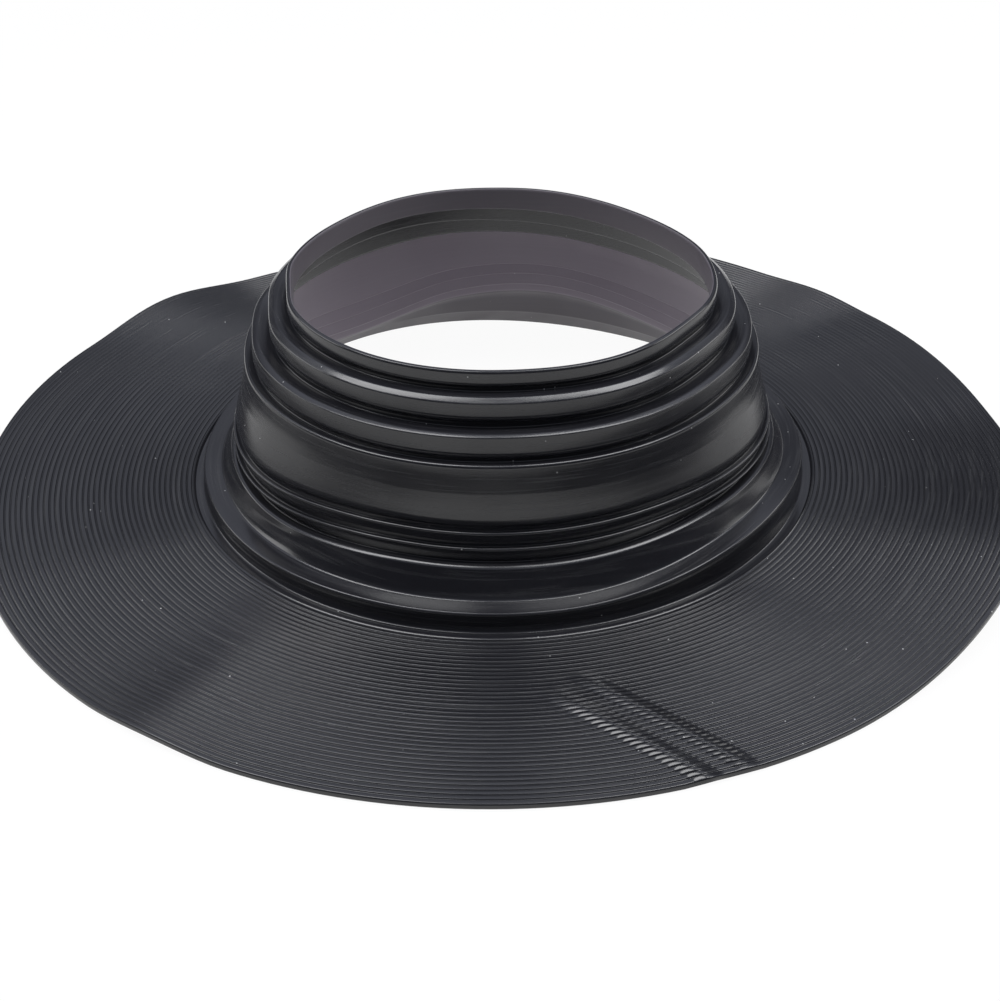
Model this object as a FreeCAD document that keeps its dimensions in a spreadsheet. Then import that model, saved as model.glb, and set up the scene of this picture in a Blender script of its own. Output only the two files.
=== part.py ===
"""Pipe flashing boot: a moulded rubber collar that steps down to a pipe, on a round ribbed flange.

The boot is one moulding, so it is one body: two sections revolved about the pipe's axis, the collar and the
flange that it stands on. Z is up, and the origin is on the axis in the plane of the underside.
"""
import FreeCAD, Part
import os
import Sketcher

# A width says how far a part stands out from the one above it, and a height how far it rises over the one below.
SIZES = {
    "wall": 2.2,
    # Lip, the smallest ring, and the steps below it. The boot is cut at the step that fits the pipe.
    "lip_radius": 85.0,
    "lip_height": 7.4,
    "belt_one_width": 7.4,
    "belt_one_height": 10.4,
    "belt_two_width": 7.4,
    "belt_two_height": 10.1,
    "tube_width": 3.4,
    "tube_height": 25.9,
    # A step's shoulder rises outwards, its edge is broken, and the wall that stands on it is undercut.
    "shoulder_rise": 1.0,
    "edge_break": 1.3,
    "undercut_depth": 1.0,
    "undercut_height": 4.2,
    # The tube widens gently to its waist, and then flares to its foot just over the grip rings.
    "waist_width": 1.2,
    "waist_height": 11.8,
    "tube_foot_width": 0.8,
    "tube_foot_height": 2.0,
    # Grip rings, and the bell that they stand on, which flares down to the pad.
    "ring_one_width": 1.4,
    "ring_one_height": 6.0,
    "ring_two_width": 1.2,
    "ring_two_height": 5.9,
    "ring_depth": 1.9,
    "bell_width": 2.8,
    "bell_height": 11.3,
    "bell_flare": 5.2,
    # Pad, the flat band round the foot, and the slope from it down to the flange.
    "pad_width": 7.9,
    "pad_height": 6.9,
    "foot_width": 4.1,
    # Flange, with ribs that lean like saw teeth between the foot and a smooth border.
    "flange_radius": 215.0,
    "flange_thickness": 2.1,
    "rib_count": 38,
    "rib_depth": 0.6,
    "rib_land_share": 0.72,
    "rib_inset": 1.6,
    "border_width": 2.4,
}


class Length:
    """A length together with the spreadsheet expression that gives it."""

    def __init__(self, value, text):
        self.value = value
        self.text = text

    def __add__(self, other):
        return Length(self.value + other.value, f"({self.text} + {other.text})")

    def __sub__(self, other):
        return Length(self.value - other.value, f"({self.text} - {other.text})")

    def __mul__(self, other):
        return Length(self.value * other.value, f"{self.text} * {other.text}")

    def __truediv__(self, other):
        return Length(self.value / other.value, f"{self.text} / {other.text}")


GROUND = Length(0.0, "0")
ONE = Length(1.0, "1")
TWO = Length(2.0, "2")


def make_sheet(doc):
    """The spreadsheet of driving dimensions, and a Length for each of its names."""
    sheet = doc.addObject("Spreadsheet::Sheet", "Sizes")
    lengths = {}
    for row, (name, value) in enumerate(SIZES.items(), start=1):
        sheet.set(f"A{row}", name)
        sheet.set(f"B{row}", f"{value}")
        sheet.setAlias(f"B{row}", name)
        lengths[name] = Length(value, f"Sizes.{name}")
    doc.recompute()
    return lengths


def make_section(body, name, corners):
    """A closed outline in the body's XZ plane. Each corner's radius and height are constraints of the sketch."""
    sketch = body.newObject("Sketcher::SketchObject", name)
    plane = next(feature for feature in body.Origin.OriginFeatures if feature.Role == "XZ_Plane")
    sketch.AttachmentSupport = [(plane, "")]
    sketch.MapMode = "FlatFace"
    points = [FreeCAD.Vector(radius.value, height.value, 0) for radius, height in corners]
    count = len(points)
    lines = [Part.LineSegment(points[i], points[(i + 1) % count]) for i in range(count)]
    sketch.addGeometry(lines, False)
    sketch.addConstraint([Sketcher.Constraint("Coincident", i, 2, (i + 1) % count, 1) for i in range(count)])
    for i, (radius, height) in enumerate(corners):
        across = sketch.addConstraint(Sketcher.Constraint("DistanceX", -1, 1, i, 1, radius.value))
        sketch.setExpression(f"Constraints[{across}]", radius.text)
        if height is GROUND:
            sketch.addConstraint(Sketcher.Constraint("PointOnObject", i, 1, -1))
        else:
            up = sketch.addConstraint(Sketcher.Constraint("DistanceY", -1, 1, i, 1, height.value))
            sketch.setExpression(f"Constraints[{up}]", height.text)
    return sketch


def revolve(body, name, sketch):
    """The section turned once round the Z axis, added to the body."""
    turned = body.newObject("PartDesign::Revolution", name)
    turned.Profile = sketch
    turned.ReferenceAxis = (sketch, ["V_Axis"])
    turned.Angle = 360
    sketch.Visibility = False
    return turned


def find_rings(size):
    """Radius and top of each ring of the collar, from the lip down, each worked out from its neighbour."""
    widths = [
        ("belt_one", size["belt_one_width"]),
        ("belt_two", size["belt_two_width"]),
        ("tube", size["tube_width"]),
        ("waist", size["waist_width"]),
        ("tube_foot", size["tube_foot_width"]),
        ("ring_one", size["ring_one_width"]),
        ("ring_two", size["ring_two_width"]),
        ("bell", size["bell_width"]),
        ("bell_foot", size["bell_flare"]),
        ("pad", size["pad_width"]),
        ("foot", size["foot_width"]),
    ]
    radius = {"lip": size["lip_radius"]}
    above = radius["lip"]
    for name, width in widths:
        above = above + width
        radius[name] = above
    top = {"foot": size["flange_thickness"]}
    top["pad"] = top["foot"] + size["pad_height"]
    top["bell"] = top["pad"] + size["bell_height"]
    top["ring_two"] = top["bell"] + size["ring_two_height"]
    top["ring_one"] = top["ring_two"] + size["ring_one_height"]
    top["tube_foot"] = top["ring_one"] + size["tube_foot_height"]
    top["waist"] = top["ring_one"] + size["waist_height"]
    top["tube"] = top["ring_one"] + size["tube_height"]
    top["belt_two"] = top["tube"] + size["belt_two_height"]
    top["belt_one"] = top["belt_two"] + size["belt_one_height"]
    top["lip"] = top["belt_one"] + size["lip_height"]
    return radius, top


def collar_corners(size):
    """The collar's outline: up its outside from the flange to the rim, and down its inside one wall away."""
    wall = size["wall"]
    rise = size["shoulder_rise"]
    edge = size["edge_break"]
    radius, top = find_rings(size)
    steps = [("tube", "belt_two"), ("belt_two", "belt_one"), ("belt_one", "lip")]
    outside = [
        (radius["foot"], GROUND),
        (radius["foot"], top["foot"]),
        (radius["pad"], top["pad"] - edge),
        (radius["pad"] - edge, top["pad"]),
        (radius["bell_foot"], top["pad"]),
        (radius["bell"], top["bell"] - edge),
        (radius["bell"] - edge, top["bell"]),
        (radius["ring_two"] - size["ring_depth"], top["bell"] - rise),
        (radius["ring_two"], top["ring_two"]),
        (radius["ring_one"] - size["ring_depth"], top["ring_two"] - rise),
        (radius["ring_one"], top["ring_one"]),
        (radius["tube_foot"] - size["undercut_depth"], top["ring_one"] - rise),
        (radius["tube_foot"], top["tube_foot"]),
        (radius["waist"], top["waist"]),
    ]
    for step, above in steps:
        outside += [
            (radius[step], top[step] - edge),
            (radius[step] - edge, top[step]),
            (radius[above] - size["undercut_depth"], top[step] - rise),
            (radius[above], top[step] - rise + size["undercut_height"]),
        ]
    outside.append((radius["lip"], top["lip"]))
    inside = [(radius["lip"] - wall, top["lip"])]
    for step, above in reversed(steps):
        inside += [
            (radius[above] - wall, top[step] - rise - wall),
            (radius[step] - wall, top[step] - wall),
        ]
    inside += [
        (radius["waist"] - wall, top["waist"]),
        (radius["tube_foot"] - wall, top["tube_foot"]),
        (radius["tube_foot"] - wall, top["bell"] - rise - wall),
        (radius["bell"] - wall, top["bell"] - wall),
        (radius["bell_foot"] - wall, top["pad"] - wall),
        (radius["pad"] - wall, top["pad"] - wall),
        (radius["foot"] - wall, GROUND),
    ]
    return outside + inside


def flange_corners(size):
    """The flange's outline: out along its ribs, round its smooth border and back along its flat underside."""
    foot = find_rings(size)[0]["foot"]
    crest = size["flange_thickness"]
    root = crest - size["rib_depth"]
    first = foot + size["rib_inset"]
    border = size["flange_radius"] - size["border_width"]
    pitch = (border - first) / size["rib_count"]
    slope = pitch * (ONE - size["rib_land_share"])
    inner = foot - size["wall"] / TWO
    corners = [(inner, GROUND), (inner, crest), (first - slope, crest)]
    root_radius = first
    for _ in range(SIZES["rib_count"]):
        corners.append((root_radius, root))
        corners.append((root_radius + slope, crest))
        root_radius = root_radius + pitch
    corners += [(border, root), (border, crest), (size["flange_radius"], crest), (size["flange_radius"], GROUND)]
    return corners


def check(doc):
    """Stop if any object failed, or if the body is not one valid solid."""
    for item in doc.Objects:
        if "Invalid" in item.State or "Error" in item.State:
            raise RuntimeError(f"{item.Name} failed: {item.State}")
    for body in doc.findObjects("PartDesign::Body"):
        if body.Shape.isNull() or not body.Shape.isValid() or len(body.Shape.Solids) != 1:
            raise RuntimeError(f"{body.Label} is not one valid solid")


doc = FreeCAD.newDocument("PipeFlashingBoot")
size = make_sheet(doc)

boot = doc.addObject("PartDesign::Body", "FlashingBoot")
boot.Label = "flashing_boot"
revolve(boot, "Collar", make_section(boot, "CollarSection", collar_corners(size)))
revolve(boot, "Flange", make_section(boot, "FlangeSection", flange_corners(size)))
doc.recompute()
check(doc)

os.makedirs("parts", exist_ok=True)
boot.Shape.exportStep(f"parts/{boot.Label}.step")
box = boot.Shape.BoundBox
print(f"{boot.Label}: {box.XLength:.1f} x {box.YLength:.1f} x {box.ZLength:.1f} mm,",
      f"{boot.Shape.Volume / 1000:.1f} cubic cm, {len(boot.Shape.Faces)} faces")
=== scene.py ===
# %% [markdown]
# # Pipe flashing boot
# A pipe flashing boot seals a pipe where it comes out through a roof. It is one soft rubber moulding: a round
# ribbed flange that lies on the roof, and a collar that steps down in rings to the size of the pipe. This lesson
# turns its section on a spindle, lets the soft rubber sag and wave as it does on a table, and then finishes it
# as black moulded rubber.

# %% Load the frame
import math
import bmesh
import bpy
from mathutils import Matrix, Vector


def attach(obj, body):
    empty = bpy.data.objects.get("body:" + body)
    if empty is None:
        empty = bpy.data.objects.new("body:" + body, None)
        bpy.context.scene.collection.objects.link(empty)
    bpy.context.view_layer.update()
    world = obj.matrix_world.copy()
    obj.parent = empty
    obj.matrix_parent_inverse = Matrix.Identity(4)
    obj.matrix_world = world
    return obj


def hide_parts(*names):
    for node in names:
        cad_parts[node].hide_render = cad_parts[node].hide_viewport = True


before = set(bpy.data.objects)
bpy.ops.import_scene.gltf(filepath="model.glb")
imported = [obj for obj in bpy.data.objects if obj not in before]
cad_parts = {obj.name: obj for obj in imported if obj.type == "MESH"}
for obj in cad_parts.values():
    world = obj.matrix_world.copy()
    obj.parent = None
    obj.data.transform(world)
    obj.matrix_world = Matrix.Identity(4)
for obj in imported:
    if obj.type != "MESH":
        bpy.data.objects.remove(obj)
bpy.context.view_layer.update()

MM = 0.001

# %% [markdown]
# ## Section of the collar
# Everything on the boot is round about the pipe's axis, so one outline says it all. It could be drawn as a
# curve and given a Screw modifier, but a bmesh outline lets each corner have its own rounding before it is
# turned. Each corner below is a radius, a height and a rounding, all in millimetres. The rounding matters: on
# black rubber the eye reads the form only from the thin light lines along its edges.

# %% Foot, pad and bell. The pad stands over a dark undercut, and the bell flares down to it
foot_pad_and_bell = [
    (128.7, 2.10, 0.2),
    (128.1, 0.90, 0.3),
    (124.4, 0.80, 0.5),
    (123.2, 3.00, 0.8),
    (123.3, 6.20, 0.8),
    (124.0, 7.80, 0.4),
    (123.5, 9.00, 0.5),
    (116.2, 9.00, 0.5),
    (115.2, 10.4, 1.0),
    (111.6, 17.2, 2.0),
    (110.7, 19.3, 0.9),
    (109.4, 20.2, 0.7),
]
print("foot, pad and bell:", len(foot_pad_and_bell), "corners")

# %% Grip rings, two beads that a clamp band sits between
grip_rings = [
    (106.1, 19.5, 0.5),
    (107.7, 25.3, 0.5),
    (107.1, 26.1, 0.5),
    (105.1, 25.5, 0.5),
    (106.6, 31.3, 0.5),
    (106.0, 32.1, 0.5),
    (104.2, 31.5, 0.4),
    (104.3, 33.4, 0.5),
]
print("grip rings:", len(grip_rings), "corners")

# %% Tube, which flares to its foot and ends above in its shoulder edge
tube = [
    (105.3, 34.9, 0.5),
    (105.2, 36.4, 0.6),
    (104.0, 43.4, 3.0),
    (103.4, 50.0, 3.0),
    (103.1, 57.2, 0.5),
    (102.4, 58.1, 0.5),
]
print("tube:", len(tube), "corners")

# %% Belts and lip, the steps up to the rim. Each has a little draft, so that it leaves the mould
belts_and_lip = [
    (98.6, 57.1, 0.5),
    (98.7, 58.6, 0.7),
    (99.9, 60.8, 0.8),
    (99.4, 67.5, 0.4),
    (97.4, 68.3, 0.8),
    (90.9, 66.9, 0.5),
    (91.0, 69.0, 0.7),
    (92.6, 71.6, 0.8),
    (92.4, 77.3, 0.5),
    (90.2, 78.7, 0.9),
    (88.2, 78.6, 1.2),
    (83.9, 77.5, 0.5),
    (84.0, 79.2, 0.7),
    (85.1, 81.0, 0.6),
    (84.9, 85.3, 0.5),
    (84.4, 86.0, 0.4),
]
print("belts and lip:", len(belts_and_lip), "corners")

# %% Inside of the collar, one wall thickness behind the outside, with three fine lines behind the rings
inside = [
    (83.0, 86.0, 0.3),
    (82.6, 85.2, 0.4),
    (82.4, 75.5, 1.2),
    (89.6, 76.6, 1.0),
    (89.4, 65.6, 1.2),
    (97.0, 66.2, 1.0),
    (96.8, 55.6, 1.2),
    (100.6, 56.2, 1.0),
    (101.2, 48.0, 2.0),
    (101.5, 35.4, 0.35),
    (102.4, 34.8, 0.2),
    (102.0, 29.6, 0.35),
    (102.9, 29.0, 0.2),
    (102.6, 23.6, 0.35),
    (103.5, 23.0, 0.2),
    (104.0, 19.0, 1.5),
    (108.4, 16.4, 2.0),
    (113.4, 8.80, 0.5),
    (114.6, 8.20, 0.5),
    (122.6, 0.00, 0.5),
]
print("inside:", len(inside), "corners")

# %% [markdown]
# ## Ribs of the flange
# The flange is covered in fine ribs, like a gramophone record, that hold the sealant under the tiles. Each has
# a flat land with a rounded outer edge and a narrow groove beside it. A bump pattern would be cheaper, but the
# ribs catch the light along their edges and show in the outline of the flange, so they are real shape.

# %% One rib after another, from the foot to the border
FLANGE_RADIUS = 215.0
FLANGE_TOP = 2.1
RIB_COUNT = 38
RIB_FIRST = 129.4
BORDER = 2.4
BORDER_RISE = 0.4
GROOVE_DEPTH = 0.7
LAND_START = 0.14  # share of the pitch
LAND_END = 0.84
LAND_FALL = 0.05


def rib_corners():
    """The corners of the ribbed top, outwards: for each rib its groove, inner edge and outer edge."""
    pitch = (FLANGE_RADIUS - BORDER - RIB_FIRST) / RIB_COUNT
    corners = []
    for rib in range(RIB_COUNT):
        groove = RIB_FIRST + rib * pitch
        corners += [
            (groove, FLANGE_TOP - GROOVE_DEPTH, 0.0),
            (groove + LAND_START * pitch, FLANGE_TOP, 0.2),
            (groove + LAND_END * pitch, FLANGE_TOP - LAND_FALL, 0.25),
        ]
    corners += [
        (FLANGE_RADIUS - BORDER, FLANGE_TOP - GROOVE_DEPTH, 0.0),
        (FLANGE_RADIUS - BORDER + BORDER_RISE, FLANGE_TOP, 0.16),
        (FLANGE_RADIUS, FLANGE_TOP, 0.6),
        (FLANGE_RADIUS, 0.0, 0.3),
    ]
    return corners


ribs = rib_corners()
print("ribs:", RIB_COUNT, "of pitch", round(ribs[3][0] - ribs[0][0], 2), "mm")

# %% [markdown]
# ## Turning the section
# The corners become one closed flat face. A vertex bevel rounds each corner, in groups of equal rounding, and
# the face is then thrown away, which leaves its rim to be spun once round the axis. Spin merges its last copy
# with its first, so the skin is closed with no seam.

# %% Draw the outline and round its corners
SEGMENTS = 240


def draw_outline(corners):
    """A bmesh with one closed face in the XZ plane. Each corner is bevelled by its own rounding."""
    outline = bmesh.new()
    rounding = outline.verts.layers.float.new("rounding")
    for radius, height, size in corners:
        vertex = outline.verts.new((radius * MM, 0, height * MM))
        vertex[rounding] = size
    outline.faces.new(outline.verts)
    for size in sorted({corner[2] for corner in corners if corner[2] > 0}, reverse=True):
        chosen = [vertex for vertex in outline.verts if abs(vertex[rounding] - size) < 1e-6]
        for vertex in chosen:
            vertex[rounding] = 0
        bmesh.ops.bevel(outline, geom=chosen, offset=size * MM, offset_type="OFFSET", affect="VERTICES",
                        segments=2 if size > 0.2 else 1, profile=0.5, material=-1, clamp_overlap=True)
    return outline


section = draw_outline(list(reversed(ribs)) + foot_pad_and_bell + grip_rings + tube + belts_and_lip + inside)
print("rounded outline:", len(section.verts), "points")

# %% Spin it round the pipe's axis
bmesh.ops.delete(section, geom=section.faces[:], context="FACES_ONLY")
bmesh.ops.spin(section, geom=section.verts[:] + section.edges[:], cent=(0, 0, 0), axis=(0, 0, 1),
               dvec=(0, 0, 0), angle=math.tau, steps=SEGMENTS, use_merge=True, use_duplicate=False)
bmesh.ops.remove_doubles(section, verts=section.verts[:], dist=1e-6)
bmesh.ops.recalc_face_normals(section, faces=section.faces[:])
print("turned skin:", len(section.faces), "faces,", sum(edge.is_boundary for edge in section.edges), "open edges")

# %% [markdown]
# ## Where each finish goes
# The boot is one moulding, but its surface isn't the same all over. The inside of the tube is a little chalky
# with the powder that let it off the core. It is given a pale colour that is mostly painted light, standing in for
# the light the bright table throws up into it. The inside of the lip and of the foot are dull, with a less pale
# colour that is painted dimmer light, and the rest is glossy black, the inside of the steps included. One material
# with a mask by height could do this, but once the rubber has settled, its heights are no longer even. So the
# faces are sorted instead, and now, while the skin is still round, which lets each finish end in a clean line.

# %% Sort the faces by radius and height
FOOT_RADIUS = 128.7
LIP_RADIUS = 84.0
LIP_FOOT = 74.0
TUBE_CEILING = 56.0
BELL_TOP = 19.0
INSIDE_MARGIN = 0.6
COLLAR, FLANGE, INSIDE, DULL_DIM_LIT = range(4)


def inside_radius(height):
    """The largest radius of the collar's inside at a height, in millimetres."""
    found = [0.0]
    for (radius_a, height_a, _), (radius_b, height_b, _) in zip(inside, inside[1:]):
        if min(height_a, height_b) <= height <= max(height_a, height_b) and height_a != height_b:
            found.append(radius_a + (radius_b - radius_a) * (height - height_a) / (height_b - height_a))
    return max(found)


def finish_of(face):
    """Which finish a face of the round skin takes."""
    middle = face.calc_center_median() / MM
    radius = middle.xy.length
    if radius > FOOT_RADIUS:
        return FLANGE
    if radius > inside_radius(middle.z) + INSIDE_MARGIN or (middle.z > TUBE_CEILING and radius > LIP_RADIUS):
        return COLLAR
    # The inside faces take the two pale rubbers, whose colour is painted light, and the dull ones less of it
    return DULL_DIM_LIT if middle.z > LIP_FOOT or middle.z < BELL_TOP else INSIDE


for face in section.faces:
    face.material_index = finish_of(face)
print("faces of each finish:", [sum(face.material_index == index for face in section.faces) for index in range(4)])

# %% [markdown]
# ## How the soft rubber lies
# Fresh from its box, the thin flange never lies quite flat: it lifts in long waves. The collar is soft too, and
# its rim is a little flattened where it was pressed. A cloth simulation would wave the flange at random, and
# these waves should be placed, so the vertices are moved by smooth bumps. Each bump has a middle and a half
# width in degrees round the axis, from the right-hand side, and a height in millimetres. Waves lift the flange
# more towards its edge. On the collar, a bump acts in a band of heights and fades over and under it, so that
# the steps stay whole.

# %% A smooth bump, and a sum of them
def smooth(value, low, high):
    """0 below low, 1 above high, and an easy curve between."""
    share = min(max((value - low) / (high - low), 0.0), 1.0)
    return share * share * (3 - 2 * share)


def bumps(degrees, table):
    """The sum of raised cosines at that angle round the axis."""
    total = 0.0
    for middle, half_width, height in table:
        away = abs((degrees - middle + 180) % 360 - 180)
        if away < half_width:
            total += height * 0.5 * (1 + math.cos(math.pi * away / half_width))
    return total


def band(height, start, full, fade, gone):
    """0 under start, 1 from full to fade, and 0 again over gone."""
    return smooth(height, start, full) * (1 - smooth(height, fade, gone))


print("a bump at its middle, half way and foot:", [round(bumps(a, [(0, 30, 2.0)]), 2) for a in (0, 15, 30)])

# %% Where the flange lifts, and where its edge draws in
flange_waves = [
    (165, 60, 5.0),
    (139, 14, 4.5),
    (77, 35, 4.5),
    (335, 34, 8.0),
    (43, 9, 1.5),
    (236, 9, 1.5),
]
edge_draws = [
    (8, 26, -3.0),
]
print("waves in the flange:", len(flange_waves), "and places where its edge draws in:", len(edge_draws))

# %% Where the rim is pressed in, and where it bulges
rim_dents = [
    (42, 46, -4.6),
    (115, 32, 2.3),
    (300, 32, 1.8),
    (342, 22, 1.6),
    (186, 16, -1.4),
]
print("dents in the rim:", len(rim_dents))

# %% Where the far side of the collar rides up on the waves, and the rings buckle
collar_lift = [
    (118, 62, 4.2),
]
ring_buckle = [
    (78, 40, 6.5),
    (127, 27, -5.2),
]
print("bumps that lift and buckle the far side:", len(collar_lift) + len(ring_buckle))

# %% Where the tube leans outwards to its foot, the bell is pressed down, and the pad stands up from its foot
tube_leans = [
    (204, 36, 4.4),
    (336, 38, 4.0),
]
bell_drops = [
    (217, 36, -3.2),
]
pad_lifts = [
    (326, 48, 4.8),
]
print("bumps at the sides:", len(tube_leans) + len(bell_drops) + len(pad_lifts))

# %% Where the flange was folded in its box. Its two creases come later, with the finish
FOLD_MIDDLE = (47.5, -180.5)
FOLD_DEGREES = -43.0
FOLD_HEIGHT = 0.9
FOLD_ALONG = (20, 46)
FOLD_ACROSS = (3, 15)


def fold_swell(x, y):
    """The height of the fold's swell at a place on the flange, in millimetres."""
    turned = math.radians(FOLD_DEGREES)
    x, y = x - FOLD_MIDDLE[0], y - FOLD_MIDDLE[1]
    along = abs(x * math.cos(turned) + y * math.sin(turned))
    across = abs(y * math.cos(turned) - x * math.sin(turned))
    return FOLD_HEIGHT * (1 - smooth(along, *FOLD_ALONG)) * (1 - smooth(across, *FOLD_ACROSS))


print("fold's swell in its middle:", fold_swell(*FOLD_MIDDLE), "mm")

# %% Move every vertex by these. A reach is the four heights where an effect starts, is full, fades and is gone
RIM_HEIGHT = 86.0
TUBE_FOOT = 36.0
TUBE_TOP = 58.0
BUCKLE_REACH = (5, 20, 20, 74)
LEAN_REACH = (12, 30, 32, 57)
DROP_REACH = (4, 24, 24, 46)
PAD_REACH = (1.2, 6, 9, 30)
FOLD_START = 15.0
EDGE_ZONE = 200.0


def settle(point):
    """Where a point of the turned skin comes to lie."""
    radius = math.hypot(point.x, point.y) / MM
    height = point.z / MM
    degrees = math.degrees(math.atan2(point.y, point.x))
    along = smooth(radius, FOOT_RADIUS, FLANGE_RADIUS)
    up = bumps(degrees, collar_lift) * (1 - smooth(height, TUBE_TOP, RIM_HEIGHT)) * (1 - along)
    up += bumps(degrees, ring_buckle) * band(height, *BUCKLE_REACH)
    up += bumps(degrees, flange_waves) * along
    out = bumps(degrees, edge_draws) * along
    if radius > FOOT_RADIUS:
        up += fold_swell(point.x / MM, point.y / MM) * smooth(radius, FOOT_RADIUS, FOOT_RADIUS + FOLD_START)
    else:
        out += bumps(degrees, rim_dents) * smooth(height, TUBE_FOOT, RIM_HEIGHT)
        out += bumps(degrees, tube_leans) * band(height, *LEAN_REACH)
        up += bumps(degrees, bell_drops) * band(height, *DROP_REACH)
        up += bumps(degrees, pad_lifts) * band(height, *PAD_REACH)
    turned = math.radians(degrees)
    return Vector(((radius + out) * math.cos(turned), (radius + out) * math.sin(turned), height + up)) * MM


for vertex in section.verts:
    vertex.co = settle(vertex.co)
print("highest point of the flange:",
      round(max(v.co.z for v in section.verts if v.co.xy.length > EDGE_ZONE * MM) / MM, 1), "mm")

# %% [markdown]
# ## Making it the frame's piece
# The bmesh becomes a mesh, its faces shade smoothly, and a Weighted Normal modifier lets the wide faces keep
# their own direction, so that the rounded edges take the light and the lands between them stay flat. More faces
# would do the same and cost more. The object then rides on the frame's body and replaces the round solid.

# %% Make the object
SMOOTH_WEIGHT = 80
mesh = bpy.data.meshes.new("boot_rubber")
for face in section.faces:
    face.smooth = True
section.to_mesh(mesh)
section.free()
boot = bpy.data.objects.new("boot_rubber", mesh)
bpy.context.scene.collection.objects.link(boot)
fair = boot.modifiers.new("fair shading", "WEIGHTED_NORMAL")
fair.mode = "FACE_AREA"
fair.weight = SMOOTH_WEIGHT
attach(boot, "root")
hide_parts("flashing_boot")
print(boot.name, "has", sum(len(polygon.vertices) - 2 for polygon in mesh.polygons), "triangles")

# %% [markdown]
# ## Marks that the rubber carries
# The rubber is black, satin, and never perfectly clean. Its colour is the easy part. What makes it read as rubber
# is its gloss, which changes slightly over the surface: a fine grain from the mould, cloudy patches where it was
# handled, fine streaks where it was wiped, and specks of dust. A painted image could hold all of these, but it
# would need an unwrapped skin and would blur close up. Here each is a node group with its own inputs, reads the
# object's own coordinates, and can be placed in any rubber.

# %% A helper that starts a node group
def start_group(name, inputs, outputs):
    """A shader node group with float inputs and outputs: its tree, and its input and output nodes."""
    group = bpy.data.node_groups.new(name, "ShaderNodeTree")
    group.interface.new_socket("Vector", in_out="INPUT", socket_type="NodeSocketVector")
    for label, value in inputs.items():
        socket = group.interface.new_socket(label, in_out="INPUT", socket_type="NodeSocketFloat")
        socket.default_value = value
    for label in outputs:
        group.interface.new_socket(label, in_out="OUTPUT", socket_type="NodeSocketFloat")
    return group, group.nodes.new("NodeGroupInput"), group.nodes.new("NodeGroupOutput")


def math_node(tree, operation, first, second):
    """A Math node of two inputs, each a number or a socket, and its output."""
    node = tree.nodes.new("ShaderNodeMath")
    node.operation = operation
    for place, value in enumerate((first, second)):
        if isinstance(value, bpy.types.NodeSocket):
            tree.links.new(value, node.inputs[place])
        else:
            node.inputs[place].default_value = value
    return node.outputs[0]


def noise(tree, vector, scale, detail, roughness=0.5):
    """A noise texture on that vector, and its factor."""
    node = tree.nodes.new("ShaderNodeTexNoise")
    node.inputs["Detail"].default_value = detail
    node.inputs["Roughness"].default_value = roughness
    tree.links.new(vector, node.inputs["Vector"])
    if isinstance(scale, bpy.types.NodeSocket):
        tree.links.new(scale, node.inputs["Scale"])
    else:
        node.inputs["Scale"].default_value = scale
    return node.outputs["Fac"]


def spread(tree, value, low, high, to_low, to_high, kind="LINEAR"):
    """A Map Range node, which takes a value between low and high to between two others."""
    node = tree.nodes.new("ShaderNodeMapRange")
    node.interpolation_type = kind
    tree.links.new(value, node.inputs["Value"])
    for name, number in (("From Min", low), ("From Max", high), ("To Min", to_low), ("To Max", to_high)):
        node.inputs[name].default_value = number
    return node.outputs["Result"]


def ramp(tree, value, low, high):
    """0 where value is under low, 1 where it is over high."""
    return spread(tree, value, low, high, 0.0, 1.0, "SMOOTHSTEP")


print("helpers:", [helper.__name__ for helper in (start_group, math_node, noise, spread, ramp)])

# %% Mould grain: the fine tooth of the mould's steel
grain, grain_in, grain_out = start_group("mould grain", {"Scale": 1800.0}, ["Height"])
grain.links.new(noise(grain, grain_in.outputs["Vector"], grain_in.outputs["Scale"], 3.0, 0.6),
                grain_out.inputs["Height"])
print("group:", grain.name)

# %% Handling marks: cloudy patches where the gloss changes
marks, marks_in, marks_out = start_group("handling marks", {"Scale": 18.0}, ["Cloud"])
cloudy = noise(marks, marks_in.outputs["Vector"], marks_in.outputs["Scale"], 4.0, 0.55)
marks.links.new(ramp(marks, cloudy, 0.35, 0.7), marks_out.inputs["Cloud"])
print("group:", marks.name)

# %% Wipe marks: fine streaks that run round the axis, from the mould and from wiping
wipe, wipe_in, wipe_out = start_group("wipe marks", {"Along": 2.5, "Across": 900.0}, ["Streak"])
apart = wipe.nodes.new("ShaderNodeSeparateXYZ")
wipe.links.new(wipe_in.outputs["Vector"], apart.inputs["Vector"])
turn = math_node(wipe, "ARCTAN2", apart.outputs["X"], math_node(wipe, "MULTIPLY", apart.outputs["Y"], -1.0))
flat = math_node(wipe, "ADD", math_node(wipe, "MULTIPLY", apart.outputs["X"], apart.outputs["X"]),
                 math_node(wipe, "MULTIPLY", apart.outputs["Y"], apart.outputs["Y"]))
rise = math_node(wipe, "ADD", apart.outputs["Z"], math_node(wipe, "POWER", flat, 0.5))
together = wipe.nodes.new("ShaderNodeCombineXYZ")
wipe.links.new(math_node(wipe, "MULTIPLY", turn, wipe_in.outputs["Along"]), together.inputs["X"])
wipe.links.new(math_node(wipe, "MULTIPLY", rise, wipe_in.outputs["Across"]), together.inputs["Y"])
streaky = noise(wipe, together.outputs["Vector"], 1.0, 3.0, 0.6)
wipe.links.new(ramp(wipe, streaky, 0.45, 0.75), wipe_out.inputs["Streak"])
print("group:", wipe.name)

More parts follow.
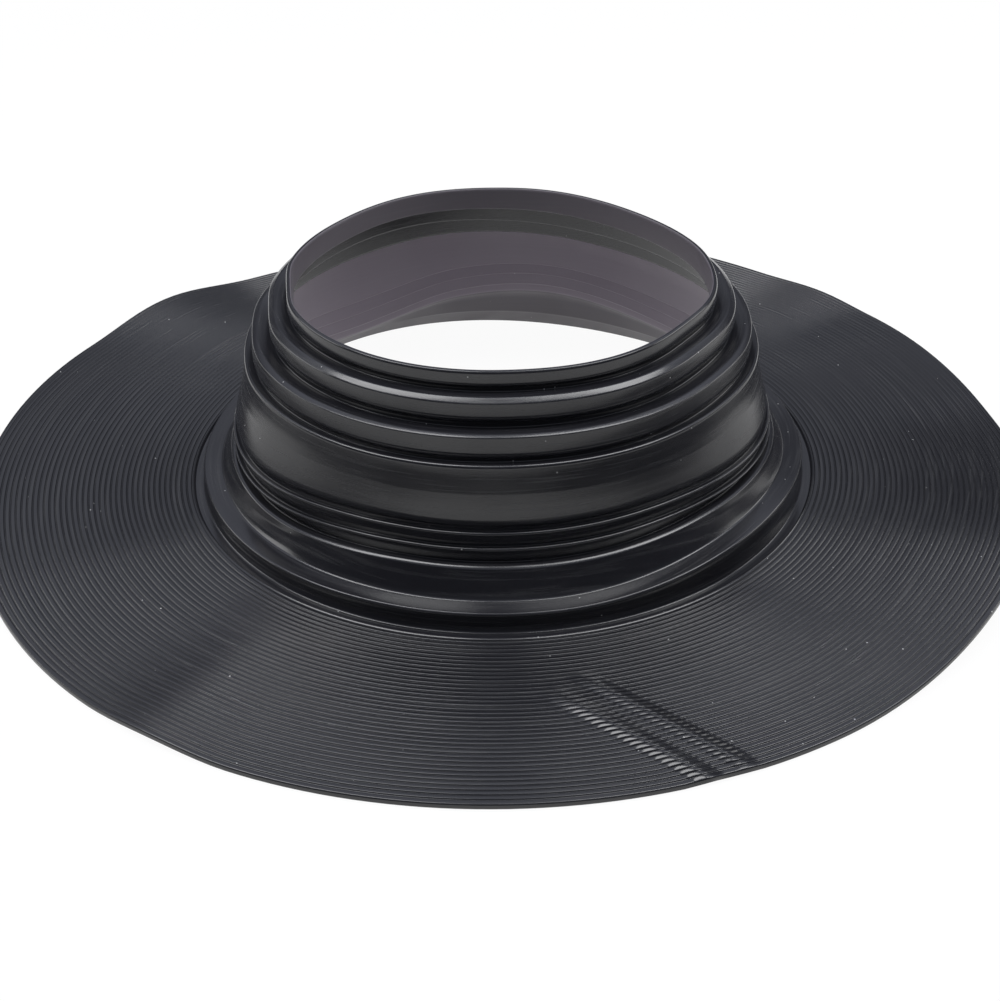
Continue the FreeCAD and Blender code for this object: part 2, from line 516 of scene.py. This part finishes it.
# %% Dust: rare pale specks. Each cell of the pattern may hold one, and few do
SPECK_RADIUS = 0.07
SPECK_RARITY = 0.93
dust, dust_in, dust_out = start_group("dust", {"Scale": 260.0}, ["Specks"])
cells = dust.nodes.new("ShaderNodeTexVoronoi")
cells.feature = "F1"
dust.links.new(dust_in.outputs["Vector"], cells.inputs["Vector"])
dust.links.new(dust_in.outputs["Scale"], cells.inputs["Scale"])
near = math_node(dust, "LESS_THAN", cells.outputs["Distance"], SPECK_RADIUS)
pick = dust.nodes.new("ShaderNodeSeparateColor")
dust.links.new(cells.outputs["Color"], pick.inputs["Color"])
rare = math_node(dust, "GREATER_THAN", pick.outputs["Red"], SPECK_RARITY)
dust.links.new(math_node(dust, "MULTIPLY", near, rare), dust_out.inputs["Specks"])
print("group:", dust.name)

# %% [markdown]
# ## Four rubbers from one recipe
# All four finishes are the same rubber and differ only in how dark and how glossy they are, so one function
# makes them. The two inside ones are paler, and that paleness is painted light from the bright table. The marks
# act on the roughness, because on black it is the gloss and not the colour that shows them. Streaks and dust
# also pale the colour a little. The grain is far too fine to be shape, so it is a bump.

# %% A group placed in a material, and what all the rubbers share
RUBBER_IOR = 1.58
DUST_COLOUR = (0.35, 0.35, 0.34, 1)
SCUFF = 0.045
CLOUD_SHARE = 0.6
STREAK_SHARE = 0.6
GRAIN_STRENGTH = 0.25
GRAIN_DEPTH = 0.00004


def place_group(material, group, vector, **values):
    """A node group in a material, on that vector, with its own values."""
    node = material.node_tree.nodes.new("ShaderNodeGroup")
    node.node_tree = group
    material.node_tree.links.new(vector, node.inputs["Vector"])
    for name, value in values.items():
        node.inputs[name].default_value = value
    return node


print("a streak pales the rubber by up to", SCUFF, "of the way to dust")

# %% The recipe
def make_rubber(name, colour, gloss_low, gloss_high):
    """Black rubber whose roughness runs between two values with the marks on it."""
    material = bpy.data.materials.new(name)
    material.use_nodes = True
    tree = material.node_tree
    shader = tree.nodes["Principled BSDF"]
    shader.inputs["IOR"].default_value = RUBBER_IOR
    place = tree.nodes.new("ShaderNodeTexCoord").outputs["Object"]
    cloud = place_group(material, marks, place, Scale=18.0).outputs["Cloud"]
    specks = place_group(material, dust, place, Scale=260.0).outputs["Specks"]
    streak = place_group(material, wipe, place, Along=2.5, Across=900.0).outputs["Streak"]
    tooth = place_group(material, grain, place, Scale=1800.0).outputs["Height"]
    base = tree.nodes.new("ShaderNodeMix")
    base.data_type = "RGBA"
    base.inputs["A"].default_value = (*colour, 1)
    base.inputs["B"].default_value = DUST_COLOUR
    paler = math_node(tree, "MAXIMUM", specks, math_node(tree, "MULTIPLY", streak, SCUFF))
    tree.links.new(paler, base.inputs["Factor"])
    tree.links.new(base.outputs["Result"], shader.inputs["Base Color"])
    uneven = math_node(tree, "ADD", math_node(tree, "MULTIPLY", cloud, CLOUD_SHARE),
                       math_node(tree, "MULTIPLY", streak, STREAK_SHARE))
    tree.links.new(spread(tree, uneven, 0.0, 1.0, gloss_low, gloss_high), shader.inputs["Roughness"])
    bump = tree.nodes.new("ShaderNodeBump")
    bump.inputs["Strength"].default_value = GRAIN_STRENGTH
    bump.inputs["Distance"].default_value = GRAIN_DEPTH
    tree.links.new(tooth, bump.inputs["Height"])
    tree.links.new(bump.outputs["Normal"], shader.inputs["Normal"])
    return material


collar_rubber = make_rubber("collar rubber", (0.012, 0.012, 0.015), 0.15, 0.30)
flange_rubber = make_rubber("flange rubber", (0.008, 0.008, 0.010), 0.16, 0.28)
# These two pale colours are painted light for the light the bright table throws up into the collar, the dull one
# less; a little is powder bloom
inside_rubber_painted_light = make_rubber("inside rubber painted light", (0.175, 0.142, 0.180), 0.32, 0.46)
dull_rubber_painted_dim_light = make_rubber("dull rubber painted dim light", (0.085, 0.075, 0.088), 0.50, 0.66)
for material in (collar_rubber, flange_rubber, inside_rubber_painted_light, dull_rubber_painted_dim_light):
    mesh.materials.append(material)
print("rubbers:", [material.name for material in mesh.materials])

# %% [markdown]
# ## The fold in the flange
# Where the flange was folded in its box, two creases are left side by side. The swell under them is already in
# the shape. The creases themselves are finer than the skin's faces, and more faces just here would break the
# even rings, so they are a bump under the grain, turned and centred by a Mapping node.

# %% Fold: two low creases side by side, lying along X in the group's own place
fold, fold_in, fold_out = start_group("fold", {"Gap": 0.0065, "Width": 0.0052, "Reach": 0.042}, ["Height"])
apart = fold.nodes.new("ShaderNodeSeparateXYZ")
fold.links.new(fold_in.outputs["Vector"], apart.inputs["Vector"])
beside = math_node(fold, "SUBTRACT", math_node(fold, "ABSOLUTE", apart.outputs["Y"], 0.0), fold_in.outputs["Gap"])
across = math_node(fold, "DIVIDE", math_node(fold, "ABSOLUTE", beside, 0.0), fold_in.outputs["Width"])
along = math_node(fold, "DIVIDE", math_node(fold, "ABSOLUTE", apart.outputs["X"], 0.0), fold_in.outputs["Reach"])
fold.links.new(math_node(fold, "MULTIPLY", ramp(fold, across, 1.0, 0.0), ramp(fold, along, 1.0, 0.6)),
               fold_out.inputs["Height"])
print("group:", fold.name)

# %% Press the fold into the flange
CREASE_DEPTH = 0.0014


def press_fold(material, middle, degrees, depth):
    """A pair of creases on a rubber, at a place and an angle on the flange, under its mould grain."""
    tree = material.node_tree
    lie = tree.nodes.new("ShaderNodeMapping")
    lie.vector_type = "TEXTURE"
    lie.inputs["Location"].default_value = (*middle, 0)
    lie.inputs["Rotation"].default_value = (0, 0, math.radians(degrees))
    tree.links.new(tree.nodes.new("ShaderNodeTexCoord").outputs["Object"], lie.inputs["Vector"])
    creases = place_group(material, fold, lie.outputs["Vector"], Gap=0.0065, Width=0.0052, Reach=0.042)
    grained = next(node for node in tree.nodes if node.type == "BUMP")
    under = tree.nodes.new("ShaderNodeBump")
    under.inputs["Strength"].default_value = 1.0
    under.inputs["Distance"].default_value = depth
    tree.links.new(creases.outputs["Height"], under.inputs["Height"])
    tree.links.new(under.outputs["Normal"], grained.inputs["Normal"])


press_fold(flange_rubber, [value * MM for value in FOLD_MIDDLE], FOLD_DEGREES, CREASE_DEPTH)
print("fold pressed into:", flange_rubber.name)

# %% [markdown]
# ## The table
# The boot lies on a white table. A lamp bright enough to turn a white sheet fully white would bleach the rubber
# too. So the table's material glows for the camera and for mirror rays, and is a plain matt white for all other
# light. It keeps the boot's shadow, because a small share of what the camera sees is still the matt white.

# %% White table
TABLE_SIZE = 4.0
TABLE_DROP = 0.0002
TABLE_GLOW = 0.95


def seen(tree):
    """1 for a ray from the camera, or one that a mirror or glass sends on."""
    path = tree.nodes.new("ShaderNodeLightPath")
    either = math_node(tree, "MAXIMUM", path.outputs["Is Camera Ray"], path.outputs["Is Glossy Ray"])
    return math_node(tree, "MAXIMUM", either, path.outputs["Is Transmission Ray"])


floor_mesh = bpy.data.meshes.new("floor")
sheet = bmesh.new()
bmesh.ops.create_grid(sheet, x_segments=1, y_segments=1, size=TABLE_SIZE)
bmesh.ops.translate(sheet, verts=sheet.verts[:], vec=(0, 0, -TABLE_DROP))
sheet.to_mesh(floor_mesh)
sheet.free()
floor = bpy.data.objects.new("floor", floor_mesh)
bpy.context.scene.collection.objects.link(floor)
white = bpy.data.materials.new("white table")
white.use_nodes = True
tree = white.node_tree
tree.nodes.clear()
matt = tree.nodes.new("ShaderNodeBsdfDiffuse")
matt.inputs["Color"].default_value = (0.9, 0.9, 0.9, 1)
glow = tree.nodes.new("ShaderNodeEmission")
blend = tree.nodes.new("ShaderNodeMixShader")
tree.links.new(math_node(tree, "MULTIPLY", seen(tree), TABLE_GLOW), blend.inputs["Fac"])
tree.links.new(matt.outputs["BSDF"], blend.inputs[1])
tree.links.new(glow.outputs["Emission"], blend.inputs[2])
tree.links.new(blend.outputs["Shader"], tree.nodes.new("ShaderNodeOutputMaterial").inputs["Surface"])
floor_mesh.materials.append(white)
print("table:", white.name)

# %% [markdown]
# ## The room and the lamps
# Black rubber shows what is around it more than its own colour, so the room matters more than the lamps do. Its
# walls are dim, so that upright rubber stays dark, and its ceiling is bright, so that the lands of the flange
# pick up a sheen. Both grow paler towards the back. Two large soft lamps overhead draw the thin light lines
# along the rounded edges, and two weaker ones at the sides light the flanks.

# %% Pale room
world = bpy.data.worlds.new("pale room")
bpy.context.scene.world = world
world.use_nodes = True
tree = world.node_tree
tree.nodes.clear()
room = tree.nodes.new("ShaderNodeBackground")
room.inputs["Color"].default_value = (0.82, 0.86, 1.0, 1)
split = tree.nodes.new("ShaderNodeSeparateXYZ")
tree.links.new(tree.nodes.new("ShaderNodeTexCoord").outputs["Generated"], split.inputs["Vector"])
to_the_back = spread(tree, split.outputs["Y"], -0.8, 0.6, 0.15, 0.40)
to_the_ceiling = spread(tree, split.outputs["Z"], 0.40, 0.68, 0.30, 2.2)
tree.links.new(math_node(tree, "MULTIPLY", to_the_back, to_the_ceiling), room.inputs["Strength"])
backdrop = tree.nodes.new("ShaderNodeBackground")
backdrop.inputs["Color"].default_value = (1, 1, 1, 1)
blend = tree.nodes.new("ShaderNodeMixShader")
tree.links.new(tree.nodes.new("ShaderNodeLightPath").outputs["Is Camera Ray"], blend.inputs["Fac"])
tree.links.new(room.outputs["Background"], blend.inputs[1])
tree.links.new(backdrop.outputs["Background"], blend.inputs[2])
tree.links.new(blend.outputs["Shader"], tree.nodes.new("ShaderNodeOutputWorld").inputs["Surface"])
print("world:", world.name)

# %% Soft lamps
def softbox(name, place, size, watts, target=(0, 0, 0.04)):
    """A rectangular area lamp at a place, facing the target."""
    lamp = bpy.data.lights.new(name, "AREA")
    lamp.shape = "RECTANGLE"
    lamp.size, lamp.size_y = size
    lamp.energy = watts
    holder = bpy.data.objects.new(name, lamp)
    holder.location = place
    holder.rotation_euler = (Vector(target) - Vector(place)).to_track_quat("-Z", "Y").to_euler()
    bpy.context.scene.collection.objects.link(holder)


softbox("softbox over left", (-0.55, 0.05, 1.25), (0.5, 0.9), 9.0)
softbox("softbox over right", (0.5, 0.05, 1.25), (0.5, 0.9), 9.0)
softbox("softbox left", (-1.3, 0.3, 0.5), (0.8, 0.4), 2.8)
softbox("softbox right", (1.3, 0.3, 0.5), (0.8, 0.4), 3.4)

# %% [markdown]
# ## The camera
# The camera looks down on the boot at an angle where both the mouth of the collar and the steps on its front can
# be seen. It could be aimed with a Track To constraint, but it is also tipped a little to one side, so its own
# three directions are worked out from the pitch, the pan and the roll, and set as one matrix.

# %% Camera
CAMERA_PLACE = (0, -0.6134, 0.3706)
CAMERA_LENS = 61.14
PITCH, ROLL, PAN = math.radians(32.62), math.radians(-1.35), math.radians(-0.14)
camera_data = bpy.data.cameras.new("camera")
camera_data.lens = CAMERA_LENS
camera = bpy.data.objects.new("camera", camera_data)
bpy.context.scene.collection.objects.link(camera)
bpy.context.scene.camera = camera
forward = Vector((math.sin(PAN) * math.cos(PITCH), math.cos(PAN) * math.cos(PITCH), -math.sin(PITCH)))
level = Vector((math.cos(PAN), -math.sin(PAN), 0))
upward = level.cross(forward)
right = math.cos(ROLL) * level + math.sin(ROLL) * upward
top = -math.sin(ROLL) * level + math.cos(ROLL) * upward
turned = Matrix((right, top, -forward)).transposed().to_4x4()
camera.matrix_world = Matrix.Translation(CAMERA_PLACE) @ turned
print("camera looks down by", round(math.degrees(PITCH), 1), "degrees")

# %% View settings
bpy.context.scene.view_settings.view_transform = "Standard"
